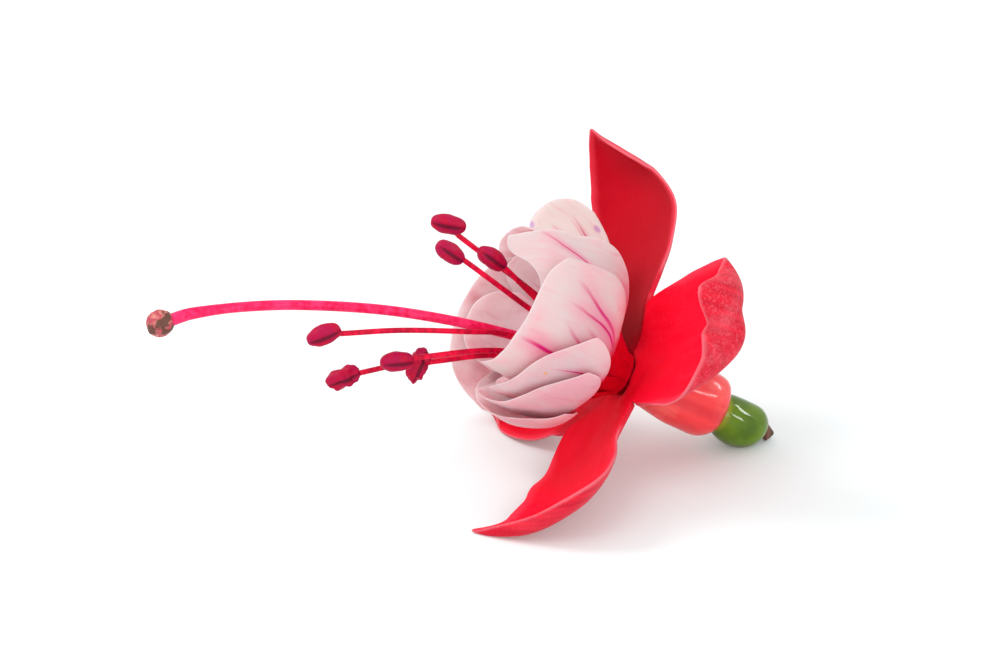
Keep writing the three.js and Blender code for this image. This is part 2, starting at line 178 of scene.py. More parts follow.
class Shader:
    def __init__(self, name):
        self.material = bpy.data.materials.new(name)
        self.material.use_nodes = True
        self.tree = self.material.node_tree
        self.tree.nodes.clear()

    # adds a node with its settings and its sockets' values or links, and gives one output
    def node(self, kind, settings, inputs, output=0):
        made = self.tree.nodes.new('ShaderNode' + kind)
        for key, value in settings.items():
            setattr(made, key, value)
        for key, value in inputs.items():
            if isinstance(value, Wire):
                self.tree.links.new(value.socket, made.inputs[key])
            else:
                made.inputs[key].default_value = value
        return Wire(self, made.outputs[output]) if made.outputs else made

    def maths(self, operation, a, b):
        return self.node('Math', {'operation': operation}, {0: a, 1: b})

    def mark(self, name):
        return self.node('Attribute', {'attribute_name': name}, {}, 'Fac')

    def place(self):
        return self.node('TexCoord', {}, {}, 'Object')

    def join(self, x, y, z):
        return self.node('CombineXYZ', {}, {0: x, 1: y, 2: z})

    # 0 below low, 1 above high, smooth between them
    def rise(self, value, low, high):
        return self.node('MapRange', {'interpolation_type': 'SMOOTHSTEP'}, {0: value, 1: low, 2: high})

    def grain(self, vector, scale, detail=2.0, roughness=0.5):
        return self.node('TexNoise', {}, {'Vector': vector, 'Scale': scale, 'Detail': detail,
                                          'Roughness': roughness})

    def blend(self, factor, a, b):
        return self.node('Mix', {'data_type': 'RGBA', 'clamp_factor': True}, {0: factor, 6: a, 7: b}, 2)

    def bump(self, height, strength, distance):
        return self.node('Bump', {}, {'Height': height, 'Strength': strength,
                                      'Distance': distance * pose['metresPerMm']})

    def finish(self, inputs):
        surface = self.node('BsdfPrincipled', {}, inputs)
        self.node('OutputMaterial', {}, {'Surface': surface})
        return self.material


# a web colour code as the linear values that shaders take
def colour(code):
    levels = [int(code[i:i + 2], 16) / 255 for i in (0, 2, 4)]
    return (*[c / 12.92 if c <= 0.04045 else ((c + 0.055) / 1.055)**2.4 for c in levels], 1)


stage = {
    'azimuth': -20, 'elevation': 25, 'distance': 700, 'lens': 201.6, 'sensor': 36,
    'aimRight': -14.75, 'aimUp': 4.6,
    'floorSize': 6, 'floorColour': 'e4ecec', 'floorGlow': 0.06,
    'skyColour': 'ffffff', 'skyStrength': 1,
}
# place: millimetres to the right, away and up, as the camera sees them. A lamp with a turn is a
# strip rolled by so many degrees, which shows only as a reflection.
lamps = [
    {'name': 'key', 'place': (-160, -300, 500), 'wide': 260, 'high': 240, 'watts': 0.45},
    {'name': 'front', 'place': (120, -560, 250), 'wide': 420, 'high': 240, 'watts': 1},
    {'name': 'side', 'place': (-370, 40, 440), 'wide': 220, 'high': 220, 'watts': 1.1},
    {'name': 'upper_glint', 'place': (510, 72, 300), 'wide': 60, 'high': 190, 'watts': 0.7, 'turn': -33},
    {'name': 'lower_glint', 'place': (468, -318, 198), 'wide': 60, 'high': 230, 'watts': 0.7, 'turn': 60},
]


def makeStage():
    azimuth, elevation = math.radians(stage['azimuth']), math.radians(stage['elevation'])
    back = Vector((math.sin(azimuth) * math.cos(elevation), -math.cos(azimuth) * math.cos(elevation),
                   math.sin(elevation)))
    right = Vector((math.cos(azimuth), math.sin(azimuth), 0))
    up = back.cross(right)
    aim = Vector(pose['mouth']) + right * stage['aimRight'] + up * stage['aimUp']
    camera = bpy.data.objects.new('camera', bpy.data.cameras.new('camera'))
    camera.data.lens = stage['lens']
    camera.data.sensor_width = stage['sensor']
    camera.data.clip_start = 0.01
    camera.location = (aim + back * stage['distance']) * pose['metresPerMm']
    camera.rotation_euler = Matrix((right, up, back)).transposed().to_euler()
    bpy.context.scene.collection.objects.link(camera)
    bpy.context.scene.camera = camera
    away = Vector((-back.x, -back.y, 0)).normalized()
    for lamp in lamps:
        light = bpy.data.lights.new(lamp['name'], 'AREA')
        light.shape = 'RECTANGLE'
        light.size = lamp['wide'] * pose['metresPerMm']
        light.size_y = lamp['high'] * pose['metresPerMm']
        light.energy = lamp['watts']
        holder = bpy.data.objects.new(lamp['name'], light)
        holder.visible_diffuse = 'turn' not in lamp
        x, y, z = lamp['place']
        offset = right * x + away * y + Vector((0, 0, z))
        holder.location = (aim + offset) * pose['metresPerMm']
        roll = Quaternion((0, 0, 1), math.radians(lamp.get('turn', 0)))
        holder.rotation_euler = (offset.to_track_quat('Z', 'Y') @ roll).to_euler()
        bpy.context.scene.collection.objects.link(holder)
    world = bpy.data.worlds.new('studio')
    world.use_nodes = True
    sky = world.node_tree.nodes['Background']
    sky.inputs['Color'].default_value = colour(stage['skyColour'])
    sky.inputs['Strength'].default_value = stage['skyStrength']
    bpy.context.scene.world = world
    bpy.context.scene.view_settings.view_transform = 'Standard'

    plane = bmesh.new()
    bmesh.ops.create_grid(plane, x_segments=1, y_segments=1, size=stage['floorSize'] / 2)
    mesh = bpy.data.meshes.new('floor')
    plane.to_mesh(mesh)
    plane.free()
    floor = bpy.data.objects.new('floor', mesh)
    bpy.context.scene.collection.objects.link(floor)
    shader = Shader('paleFloor')
    floor.data.materials.append(shader.finish({
        'Base Color': colour(stage['floorColour']), 'Roughness': 0.8, 'Specular IOR Level': 0.1,
        'Emission Color': (1, 1, 1, 1), 'Emission Strength': stage['floorGlow'],
    }))


makeStage()
print('stage ready')


# Calyx tube: a hollow trumpet, lobed where it swells over the ovary. outer and inner are
# (distance from the axis, height along it) places, and lobes are parted by furrows.
tube = {
    'rows': 90, 'columns': 96,
    'outer': [(2.4, -15.3), (3.4, -15), (4.2, -14.2), (4.6, -12.9), (4.6, -11.3), (4.3, -9), (3.75, -6.6),
              (3.2, -4), (3.15, -2.9), (3.7, -1.9), (4.4, -1.2)],
    'inner': [(4.3, -0.6), (3.3, -1.2), (2.6, -2.6), (2.2, -4), (2.6, -6.4), (3.2, -9), (3.4, -11.4),
              (2.8, -13.4), (1.1, -14.4), (1.0, -15.1)],
    'lobes': 4, 'furrowAzimuth': -88, 'furrowDepth': 0.42, 'leastFurrow': 0.25, 'furrowsDeepen': (4, 10),
    'unevenness': 0.12, 'upperSwell': 0.4, 'upperSwells': (6, 12),
    'body': 'ea3238', 'pale': 'f68076', 'deep': 'd01228', 'foot': '9a3a14',
}


def tubeSkin():
    shader = Shader('tubeSkin')
    height, lobe = shader.mark('height'), shader.mark('lobe')
    place = shader.place()
    deep = colour(tube['deep'])
    stripes = shader.grain(shader.join(lobe * 1.2, height * 0.2, 0.0), 1.2, 2.0)
    cloud = shader.grain(place, 190, 3.0)
    shade = shader.blend(shader.rise(cloud, 0.4, 0.7) * 0.7, colour(tube['body']), colour(tube['pale']))
    shade = shader.blend(shader.rise(stripes, 0.4, 0.7) * 0.4, shade, deep)
    # painted shade: the tube's red darkens along the furrows between its lobes
    shade = shader.blend((1 - shader.rise(lobe, -1.0, -0.7)) * 0.55, shade, deep)  # along the furrows
    shade = shader.blend((1 - shader.rise(height + cloud * 0.6, -14.9, -13.6)) * 0.75, shade, deep)
    shade = shader.blend((1 - shader.rise(height, -15.2, -14.8)) * 0.6, shade, colour(tube['foot']))
    shade = shader.blend(shader.rise(height, -5, -1.5) * 0.6, shade, deep)  # the neck
    fine = shader.grain(place, 2600, 2.0)
    return shader.finish({
        'Base Color': shade,
        'Roughness': 0.2 + fine * 0.1,
        'Normal': shader.bump(cloud * 0.7 + fine * 0.15, 0.2, 0.15),
        'Subsurface Weight': 0.25, 'Subsurface Radius': (1, 0.2, 0.15), 'Subsurface Scale': 0.0012,
        'Specular IOR Level': 0.2, 'Coat Weight': 0.5, 'Coat Roughness': 0.14,
    })


def makeTube():
    loop = ProfileLine(tube['outer'] + tube['inner'] + tube['outer'][:1])
    outerPart = ProfileLine(tube['outer']).length / loop.length

    def placeAt(u, v):
        r, w = loop.at(u * loop.length)
        azimuth = 360 * v
        turn = tube['lobes'] * math.radians(azimuth - tube['furrowAzimuth'])
        outside = smooth(u, 0.01, 0.06) * (1 - smooth(u, outerPart - 0.06, outerPart))
        furrow = (0.5 + 0.5 * math.cos(turn))**3
        share = tube['leastFurrow'] + (1 - tube['leastFurrow']) * smooth(-w, *tube['furrowsDeepen'])
        r -= tube['furrowDepth'] * share * furrow * outside
        r += tube['unevenness'] * ripple(aroundAxis(azimuth, 3, w), 0.35, 4.2) * outside
        swell = tube['upperSwell'] * math.cos(math.radians(azimuth)) * smooth(-w, *tube['upperSwells'])
        r += swell * outside
        return aroundAxis(azimuth, r, w), {'height': w, 'lobe': -math.cos(turn)}

    piece = gridPiece('calyx_skin', placeAt, tube['rows'], tube['columns'], closed=True)
    finishPiece(piece, ['calyx_tube'], [tubeSkin()])


makeTube()
print('calyx tube ready')


# Ovary: a glossy green egg whose underside rests on the surface, with a pale joint to the tube.
# outline: the radius against the share of the length. sag: how far the middle drops.
ovary = {
    'start': -15.4, 'length': 7.7, 'rows': 60, 'columns': 72, 'sag': 0.5,
    'outline': [(0, 2.3), (0.06, 2.55), (0.25, 2.95), (0.5, 3.05), (0.75, 2.75), (0.9, 1.95), (1, 0.8)],
    'ribs': 4, 'ribHeight': 0.06,
    # the last brown is the ovary's own colour by the stub, and painted shade under it
    'green': '608002', 'deep': '2c4e00', 'joint': 'a09a14', 'shadeAndStubBrown': '5c3f18',
}


def ovarySkin():
    shader = Shader('ovarySkin')
    share, height = shader.mark('share'), shader.mark('height')
    place = shader.place()
    cloud = shader.grain(place, 260, 2.0)
    cells = shader.grain(place, 3200, 2.0)
    shade = shader.blend(shader.rise(cloud, 0.3, 0.75) * 0.7, colour(ovary['green']), colour(ovary['deep']))
    shade = shader.blend((1 - shader.rise(share + cloud * 0.06, 0.06, 0.16)) * 0.7, shade,
                         colour(ovary['joint']))
    # painted shade: darker brown towards the floor, where the ovary rests on it
    shade = shader.blend((1 - shader.rise(height + cloud, 0.4, 1.8)) * 0.5, shade, colour(ovary['shadeAndStubBrown']))
    shade = shader.blend(shader.rise(share, 0.86, 1) * 0.7, shade, colour(ovary['shadeAndStubBrown']))  # by the stub
    shade = shader.blend(shader.rise(cells, 0.55, 0.75) * 0.12, shade, colour(ovary['joint']))
    return shader.finish({
        'Base Color': shade,
        'Roughness': 0.1 + cells * 0.06,
        'Normal': shader.bump(cells * 0.4 + cloud * 0.6, 0.08, 0.1),
        'Subsurface Weight': 0.12, 'Subsurface Radius': (0.5, 1, 0.2), 'Subsurface Scale': 0.0008,
        'Specular IOR Level': 0.1, 'Coat Weight': 0.5, 'Coat Roughness': 0.08,
    })


def makeOvary():
    def placeAt(u, v):
        share = (1 - math.cos(math.pi * u)) / 2
        w = ovary['start'] - share * ovary['length']
        r = 0 if u in (0, 1) else curveThrough(ovary['outline'], share)
        angle = 2 * math.pi * v
        r += ovary['ribHeight'] * math.cos(ovary['ribs'] * angle) * math.sin(math.pi * share)
        sag = ovary['sag'] * math.sin(math.pi * share)
        p = lifted(Vector((r * math.cos(angle) - sag, r * math.sin(angle), w)), 0)
        return p, {'share': share, 'height': pose['mouth'][2] + p.dot(upLocal)}

    piece = gridPiece('ovary_skin', placeAt, ovary['rows'], ovary['columns'], closed=True)
    finishPiece(piece, ['ovary'], [ovarySkin()])


makeOvary()
print('ovary ready')


# Stub of the flower stalk: a short dry point, flattened and slanting. sink: how far its base lies
# below the flower's axis.
stub = {
    'start': -23.1, 'length': 1.55, 'radius': 1.5, 'tipRadius': 0.12, 'flatness': 0.8, 'slant': 0.4,
    'sink': 0.3, 'ridges': 3, 'ridgeHeight': 0.12, 'unevenness': 0.1, 'clearance': 0.3,
    'rows': 14, 'columns': 24,
    'brown': '6b4630', 'dark': '3c2617', 'red': '8a4a3c',
}


def stubSkin():
    shader = Shader('stubSkin')
    along = shader.mark('share')
    place = shader.place()
    fibres = shader.grain(place, 1800, 3.0, 0.7)
    shade = shader.blend(shader.rise(fibres, 0.35, 0.65), colour(stub['dark']), colour(stub['brown']))
    shade = shader.blend((1 - shader.rise(along, 0, 0.5)) * 0.5, shade, colour(stub['red']))
    return shader.finish({
        'Base Color': shade, 'Roughness': 0.6 + fibres * 0.2, 'Normal': shader.bump(fibres, 0.6, 0.15),
    })


def makeStub():
    def placeAt(u, v):
        angle = 2 * math.pi * v
        r = 0 if u in (0, 1) else stub['radius'] + (stub['tipRadius'] - stub['radius']) * u**0.9
        uneven = ripple((math.cos(angle), math.sin(angle), 3 * u), 1.5, 7)
        r *= 1 + stub['ridgeHeight'] * math.cos(stub['ridges'] * angle + 1) + stub['unevenness'] * uneven
        rise, aside = r * math.cos(angle), r * math.sin(angle)
        p = Vector((rise - stub['sink'] * (1 - u), stub['flatness'] * aside,
                    stub['start'] - u * stub['length'] + stub['slant'] * rise))
        return lifted(p, stub['clearance']), {'share': u}

    piece = gridPiece('stub_skin', placeAt, stub['rows'], stub['columns'], closed=True)
    finishPiece(piece, ['pedicel_stub'], [stubSkin()])


makeStub()
print('stalk stub ready')


# Sepals: line is the midrib as (distance from the axis, height along it). The other lists run
# against the share of the midrib's length: halves are half widths, sway the midrib's sideways
# drift, cup the degrees each half curls inwards, roll those the blade turns about its midrib and
# belly how far its lower half bulges outwards. deep is a blade's share of painted shade, a darker
# red inside, and dusty its share of pale dust outside.
# Neighbours share their margins, which rise by valleyRise and part over the distances valleyOpens.
# rootShare starts the blade inside the tube's ring, and seedStep keeps the blades' patterns apart.
sepals = {
    'rows': 84, 'columns': 44, 'rootShare': -0.07, 'thickness': 0.7, 'thinnest': 0.3, 'clearance': 0.3,
    'ringRadius': 4.75, 'ringHeight': -0.9, 'valleyStretch': 0.96, 'valleyOpens': (4.8, 8),
    'valleyRise': 2.6, 'leastHalf': 0.05, 'unevenness': 0.35, 'seedStep': 40,
    'inner': 'fc082e', 'innerDeep': 'e20224', 'innerBright': 'ff2446', 'paleFleckAndLitMargin': 'ff4c64',
    'shaded': '980010',
    'outer': 'da1832', 'outerDeep': 'c20e2a', 'dust': 'e48490',
    'blades': [
        {
            'node': 'sepal_upper', 'azimuth': 40.4, 'deep': 0.95, 'dusty': 0.6,
            'line': [(4.75, -0.9), (12, -1.5), (20, -0.8), (26, 1.6), (28.8, 5.2), (30.1, 9.1)],
            'cup': [(0, 15), (0.1, 34), (0.2, 34), (0.35, 24), (0.5, 22), (0.7, 42), (1, 50)],
            'roll': [(0, 0), (1, 0)],
            'halves': [(0, 3.4), (0.05, 4.5), (0.1, 6), (0.15, 7.5), (0.2, 7.9), (0.35, 8.3), (0.45, 8.6),
                       (0.55, 8.8), (0.68, 7.8), (0.78, 6), (0.85, 4.2), (0.92, 2.2), (1, 0.1)],
            'belly': [(0, 0), (1, 0)],
            'sway': [(0, 0), (0.2, 0), (0.35, -0.4), (0.55, -0.9), (0.68, -0.7), (0.78, 0.1), (0.92, 1),
                     (1, 0)],
        },
        {
            'node': 'sepal_near', 'azimuth': -49.6, 'deep': 0, 'dusty': 1,
            'line': [(4.75, -0.9), (12, -1.5), (20, -1.2), (24.9, -0.2), (26.6, 2.6), (26.1, 7.1)],
            'cup': [(0, 15), (0.1, 48), (0.2, 40), (0.3, 28), (0.45, 24), (0.6, 38), (0.7, 64), (0.8, 82),
                    (1, 75)],
            'roll': [(0, 0), (0.1, -7), (0.3, -3), (0.6, -5), (0.8, -8), (1, 0)],
            'halves': [(0, 3.4), (0.05, 4.5), (0.1, 6.1), (0.15, 7.8), (0.2, 8.4), (0.3, 9.4), (0.45, 9.2),
                       (0.6, 7.8), (0.7, 6.9), (0.8, 5.9), (0.9, 3.8), (0.96, 2), (1, 0.1)],
            'belly': [(0, 0), (0.3, 0), (0.45, 1.4), (0.6, 2.6), (0.72, 2.1), (0.88, 0), (1, 0)],
            'sway': [(0, 0), (0.2, 0), (0.3, 0.3), (0.45, 0.7), (0.6, 1.6), (0.7, 1.8), (0.8, 1.6), (1, 1)],
        },
        {
            'node': 'sepal_front', 'azimuth': -139.6, 'deep': 0, 'dusty': 0.2,
            'line': [(4.75, -0.8), (11, 1), (17.6, 3.6), (22.4, 6.8), (25.1, 9.8), (25.3, 14)],
            'cup': [(0, 15), (0.1, 36), (0.2, 36), (0.35, 24), (0.5, 32), (0.65, 44), (0.8, 54), (0.9, 62),
                    (1, 70)],
            'roll': [(0, 0), (0.1, 4), (0.3, 0), (0.6, -6), (1, -6)],
            'halves': [(0, 3.4), (0.05, 4.5), (0.1, 6), (0.15, 7.3), (0.2, 7.3), (0.3, 7.5), (0.4, 8.1),
                       (0.5, 8.2), (0.62, 7.6), (0.75, 6.3), (0.88, 3.6), (0.95, 1.8), (1, 0.1)],
            'belly': [(0, 0), (1, 0)],
            'sway': [(0, 0), (0.1, 0), (0.3, -0.6), (0.4, 0.3), (0.5, 1.5), (0.6, 2.6), (0.72, 3), (0.85, 0),
                     (1, -6)],
        },
        {
            'node': 'sepal_back', 'azimuth': 130.4, 'deep': 0.4, 'dusty': 0.1,
            'line': [(4.75, -0.9), (12, -1.8), (19.3, -0.7), (23.4, 2.2), (22.8, 7.2)],
            'cup': [(0, 15), (0.1, 36), (0.3, 40), (0.6, 60), (1, 60)],
            'roll': [(0, 0), (1, 0)],
            'halves': [(0, 3.4), (0.05, 4.5), (0.1, 6), (0.15, 7.1), (0.28, 7.1), (0.45, 7.6), (0.62, 7),
                       (0.75, 5.4), (0.88, 2.6), (1, 0.1)],
            'belly': [(0, 0), (1, 0)],
            'sway': [(0, 0), (0.1, 0), (0.2, -0.8), (0.5, -0.6), (1, -1.4)],
        },
    ],
}


def sepalInside():
    shader = Shader('sepalInside')
    along, side, edge = shader.mark('along'), shader.mark('side'), shader.mark('edge')
    place = shader.place()
    cloud = shader.grain(place, 150, 2.0)
    streaks = shader.grain(shader.join(side * 0.9, along * 0.16, 0.0), 1.0, 3.0, 0.6)
    flecks = shader.grain(shader.join(side * 3, along * 1.4, 3.0), 1.6, 3.0, 0.6)
    shade = shader.blend(shader.rise(cloud, 0.4, 0.75) * 0.5, colour(sepals['inner']),
                         colour(sepals['innerDeep']))
    shade = shader.blend(shader.rise(streaks, 0.45, 0.75) * 0.35, shade, colour(sepals['innerBright']))
    shade = shader.blend(shader.rise(flecks, 0.5, 0.75) * 0.18, shade, colour(sepals['paleFleckAndLitMargin']))
    shade = shader.blend((1 - shader.rise(along, 0, 9)) * 0.4, shade, colour(sepals['innerDeep']))
    # painted shade: whole blades darkened by their deep share, most on the upper sepal
    shade = shader.blend(shader.mark('deep') * 0.75, shade, colour(sepals['shaded']))
    # partly painted light: the inner margins are paler, partly their own dusty tone and partly lit where
    # they turn towards the light
    margin = 1 - shader.rise(edge + streaks * 0.8, 0.5, 1.9)
    shade = shader.blend(margin * 0.45, shade, colour(sepals['paleFleckAndLitMargin']))
    cells = shader.grain(place, 2600, 2.0)
    return shader.finish({
        'Base Color': shade,
        'Roughness': 0.5 + cells * 0.2,
        'Normal': shader.bump(cells * 0.5 + streaks * 0.7, 0.2, 0.12),
        'Subsurface Weight': 0.2, 'Subsurface Radius': (1, 0.1, 0.08), 'Subsurface Scale': 0.001,
        'Specular IOR Level': 0.08,
    })


def sepalOutside():
    shader = Shader('sepalOutside')
    along, side, edge, dusty = [shader.mark(m) for m in ('along', 'side', 'edge', 'dusty')]
    place = shader.place()
    cloud = shader.grain(place, 190, 3.0)
    nerves = shader.grain(shader.join(side * 1.3, along * 0.1, 5.0), 1.0, 2.0)
    fuzz = shader.grain(place, 2600, 4.0, 0.75)
    dust = colour(sepals['dust'])
    shade = shader.blend(shader.rise(nerves, 0.35, 0.7), colour(sepals['outerDeep']),
                         colour(sepals['outer']))
    shade = shader.blend(shader.rise(cloud, 0.45, 0.75) * dusty * 0.25, shade, dust)
    shade = shader.blend(shader.rise(fuzz, 0.45, 0.75) * dusty * 0.35, shade, dust)
    shade = shader.blend((1 - shader.rise(edge + fuzz * 0.6, 0.3, 0.9)) * 0.45, shade, dust)
    return shader.finish({
        'Base Color': shade,
        'Roughness': 0.55 + fuzz * 0.25,
        'Normal': shader.bump(nerves * 0.9 + fuzz * 0.5, 0.45, 0.16),
        'Subsurface Weight': 0.15, 'Subsurface Radius': (1, 0.1, 0.08), 'Subsurface Scale': 0.001,
        'Sheen Weight': 0.08, 'Sheen Roughness': 0.4, 'Specular IOR Level': 0.12,
    })


def makeSepal(blade, number, materials):
    midrib = ProfileLine(blade['line'])
    gap = 0.05  # the slope is taken over this distance each way
    facing = math.radians(blade['azimuth'])
    halfSector = 180 / len(sepals['blades'])

    def placeAt(u, v):
        s, t = sepals['rootShare'] + (1 - sepals['rootShare']) * u, 2 * v - 1
        d = s * midrib.length
        r, h = midrib.at(d)
        r1, h1 = midrib.at(min(d + gap, midrib.length))
        r0, h0 = midrib.at(d - gap)
        slope = math.atan2(h1 - h0, r1 - r0)
        half = max(curveThrough(blade['halves'], s), sepals['leastHalf'])
        bend = math.radians(curveThrough(blade['cup'], max(s, 0)))
        turn = math.radians(curveThrough(blade['roll'], max(s, 0)))
        flat = half * math.sin(bend * t) / bend
        bulging = smooth(-t, 0, 0.6) * (1 - smooth(-t, 0.65, 1))
        raised = half * (1 - math.cos(bend * t)) / bend - curveThrough(blade['belly'], s) * bulging
        raised += sepals['unevenness'] * ripple((flat, d, 0), 0.16, 3.1 * number) * smooth(d, 3, 9)
        across = flat * math.cos(turn) - raised * math.sin(turn) + curveThrough(blade['sway'], max(s, 0))
        lift = flat * math.sin(turn) + raised * math.cos(turn)
        out = r - lift * math.sin(slope)
        inward = out - math.sqrt(max(out * out - across * across, 0))
        reach = out - inward * (1 - smooth(s, 0, 0.25))
        p = Vector((reach * math.cos(facing) - across * math.sin(facing),
                    reach * math.sin(facing) + across * math.cos(facing),
                    h + lift * math.cos(slope)))
        joined = (1 - smooth(d, *sepals['valleyOpens'])) * smooth(abs(t), 0.3, 1)
        climb = sepals['valleyRise'] * smooth(d, -1, 6.5)
        valley = aroundAxis(blade['azimuth'] + math.copysign(halfSector, t),
                            sepals['ringRadius'] + sepals['valleyStretch'] * d, climb + sepals['ringHeight'])
        p = p.lerp(valley, joined)
        edge = min((1 - abs(t)) * half, (1 - s) * midrib.length) + 2 * joined
        return lifted(p, sepals['clearance']), {
            'along': d + sepals['seedStep'] * number, 'side': half * t, 'edge': edge,
            'body': smooth(edge, -0.6, 1.6), 'deep': blade['deep'], 'dusty': blade['dusty'],
        }

    piece = gridPiece(blade['node'] + '_blade', placeAt, sepals['rows'], sepals['columns'])
    giveThickness(piece, sepals['thickness'], sepals['thinnest'])
    finishPiece(piece, [blade['node']], materials)


sepalMaterials = [sepalOutside(), sepalInside()]
for number, blade in enumerate(sepals['blades']):
    makeSepal(blade, number, sepalMaterials)
print('sepals ready')


# Petals wrap each other like a swirl: the margin on the higher-azimuth side lies outermost and the
# other is tucked in by tuck, over more of the blade for a low turn. half: degrees from middle to
# margin. rim: the share of the line's length at which the petal ends, across from margin (-1) to
# margin (1). claw: azimuth of the foot. wide: the distance from the foot at which the petal is fully
# wide. Near their feet, petals away from footAzimuth are raised by footRise.
# outFlush and inFlush: how pink the two faces are; on the low petals' outsides part of that pink
# is painted shade between the petals. veins: three (along, side) places each, in
# millimetres, and the length over which the end fades. spots: the place, radius and colour.
corolla = {
    'rows': 60, 'columns': 44, 'thickness': 0.26, 'thinnest': 0.35, 'clawHalf': 1.2,
    'line': [(3.1, -0.2), (3.3, 0.8), (5.2, 1.8), (8.4, 3.6), (11.2, 6.6), (12.4, 10.6), (12.4, 15),
             (12, 19), (11.4, 22.5)],
    'rollingLine': [(3.1, -0.2), (3.3, 0.8), (5.2, 1.8), (8.4, 3.6), (11.2, 6.6), (12.4, 10.6), (12.1, 15),
                    (11, 19), (9.4, 22.5)],
    'innerLine': [(2.2, -0.2), (2.3, 1.6), (2.9, 4), (4.6, 6.6), (6.6, 9.4), (8.2, 12.6), (9, 16),
                  (9.2, 19)],
    'flaredLine': [(3.1, -0.2), (3.7, 0.3), (6.5, 1.2), (10, 2.9), (13.6, 5.4), (16.2, 8.9), (17.2, 12.4)],
    'meanBulge': 1.07, 'upperBulge': 0.13, 'bulgeAzimuth': 14, 'footRise': 2.6, 'footAzimuth': 30,
    'seedStep': 7.3, 'waves': 0.5, 'ruffles': 0.22,
    # the inner faces' colour is lighter than the outer cream, partly painted light that stands in for light
    # shining through the thin petals
    'usual': {'line': 'line', 'tuck': 0, 'turn': 1, 'size': 1, 'wide': 11, 'outFlush': 0, 'inFlush': 0.1,
              'litLining': 'ffdcde', 'veins': [], 'spots': []},
    'cream': 'ceb6b6', 'blush': 'dc9ca6', 'fold': 'd86c8a', 'rose': 'd8205a', 'base': 'cc0020',
    'vein': 'c4106a',
    'petals': [
        {'node': 'petal_front', 'azimuth': -78, 'half': 51, 'tuck': 4.1, 'wide': 16, 'size': 0.97,
         'rim': [(-1, 0.94), (-0.5, 0.94), (0, 0.94), (0.5, 0.93), (0.8, 0.9), (1, 0.82)],
         'veins': [{'points': [(7.6, 1.4), (15.3, 6.3), (21.5, 10.4)], 'width': 0.5, 'fade': 6},
                   {'points': [(7.6, 1), (14.6, 2.7), (18.4, 4.6)], 'width': 0.4, 'fade': 5},
                   {'points': [(11, 3), (17, 5.6), (22, 6.6)], 'width': 0.32, 'fade': 7},
                   {'points': [(9, 0), (16.3, 1.3), (21.4, 4.6)], 'width': 0.42, 'fade': 6},
                   {'points': [(12, -1.6), (19.3, -0.9), (25.5, -0.3)], 'width': 0.5, 'fade': 4},
                   {'points': [(10, -0.8), (16, -2.6), (21, -3.6)], 'width': 0.2, 'fade': 7}]},
        # the low petals' larger outFlush is partly painted shade, the pink shade between them
        {'node': 'petal_low_first', 'azimuth': -118, 'half': 54, 'claw': -109, 'tuck': 4, 'turn': 0.7,
         'wide': 18, 'outFlush': 0.3, 'rim': [(-1, 0.65), (-0.6, 0.81), (0, 0.84), (0.6, 0.79), (1, 0.62)],
         'veins': [{'points': [(8, 5.2), (16.7, 7.1), (20, 5.8)], 'width': 0.2, 'fade': 4}],
         'spots': [((19.8, 5), 0.36, 'e8963c')]},
        {'node': 'petal_low_second', 'azimuth': -144, 'half': 61, 'claw': -142, 'tuck': 3.2, 'turn': 0.76,
         'wide': 14, 'outFlush': 0.6, 'rim': [(-1, 0.62), (-0.6, 0.77), (0, 0.8), (0.6, 0.74), (1, 0.58)]},
        {'node': 'petal_low_third', 'azimuth': -170, 'half': 56, 'claw': -174, 'tuck': 2.2,
         'outFlush': 0.6, 'rim': [(-1, 0.57), (-0.6, 0.7), (0, 0.73), (0.6, 0.68), (1, 0.53)],
         'spots': [((7.3, 1.9), 0.4, '9a4038')]},
        {'node': 'petal_far', 'azimuth': 112, 'half': 58, 'tuck': 2.2,
         'rim': [(-1, 0.66), (-0.6, 0.79), (0, 0.83), (0.6, 0.79), (1, 0.66)]},
        {'node': 'petal_upper', 'azimuth': 28, 'half': 52, 'tuck': 4, 'turn': 1.5, 'size': 0.98,
         'rim': [(-1, 0.67), (-0.6, 0.8), (0, 0.84), (0.6, 0.8), (1, 0.67)]},
        {'node': 'petal_upper_front', 'azimuth': -47, 'half': 48, 'claw': -46, 'line': 'rollingLine',
         'tuck': 4.4, 'turn': 0.5, 'size': 0.98,
         'rim': [(-1, 0.6), (0, 0.84), (0.3, 0.86), (0.6, 0.92), (0.8, 1), (1, 1.02)],
         'veins': [{'points': [(15, 4.6), (19.4, 8.9), (25, 10.5)], 'width': 0.22, 'fade': 6}]},
        {'node': 'petal_top', 'azimuth': 53, 'half': 18, 'claw': 62, 'line': 'flaredLine',
         'rim': [(-1, 0.76), (-0.6, 0.92), (0, 0.97), (0.6, 0.94), (1, 0.78)],
         'outFlush': -0.8, 'inFlush': -0.8, 'litLining': 'ece0da',
         'spots': [((18.9, 3.2), 0.7, 'b886c8'), ((13.2, -4.3), 0.7, 'b886c8')],
         'veins': [{'points': [(9, 0.6), (13, 0.9), (18, 1.4)], 'width': 0.16, 'fade': 6},
                   {'points': [(9, -1.2), (13, -1.8), (17, -2.4)], 'width': 0.14, 'fade': 5}]},
        {'node': 'petal_inner_upper', 'azimuth': 52, 'half': 32, 'line': 'innerLine', 'tuck': 0.6,
         'size': 1.03, 'rim': [(-1, 0.64), (-0.6, 0.81), (0, 0.86), (0.6, 0.81), (1, 0.64)]},
        {'node': 'petal_inner_far', 'azimuth': 112, 'half': 40, 'line': 'innerLine', 'tuck': 1.2,
         'rim': [(-1, 0.71), (-0.6, 0.9), (0, 0.95), (0.6, 0.9), (1, 0.71)]},
        {'node': 'petal_inner_low', 'azimuth': -165, 'half': 38, 'line': 'innerLine', 'tuck': 0.3,
         'size': 0.89, 'rim': [(-1, 0.6), (-0.6, 0.76), (0, 0.8), (0.6, 0.76), (1, 0.6)]},
        {'node': 'petal_inner_near', 'azimuth': -85, 'half': 38, 'line': 'innerLine', 'tuck': 0.6,
         'size': 0.86, 'rim': [(-1, 0.6), (-0.6, 0.76), (0, 0.8), (0.6, 0.76), (1, 0.6)]},
    ],
}


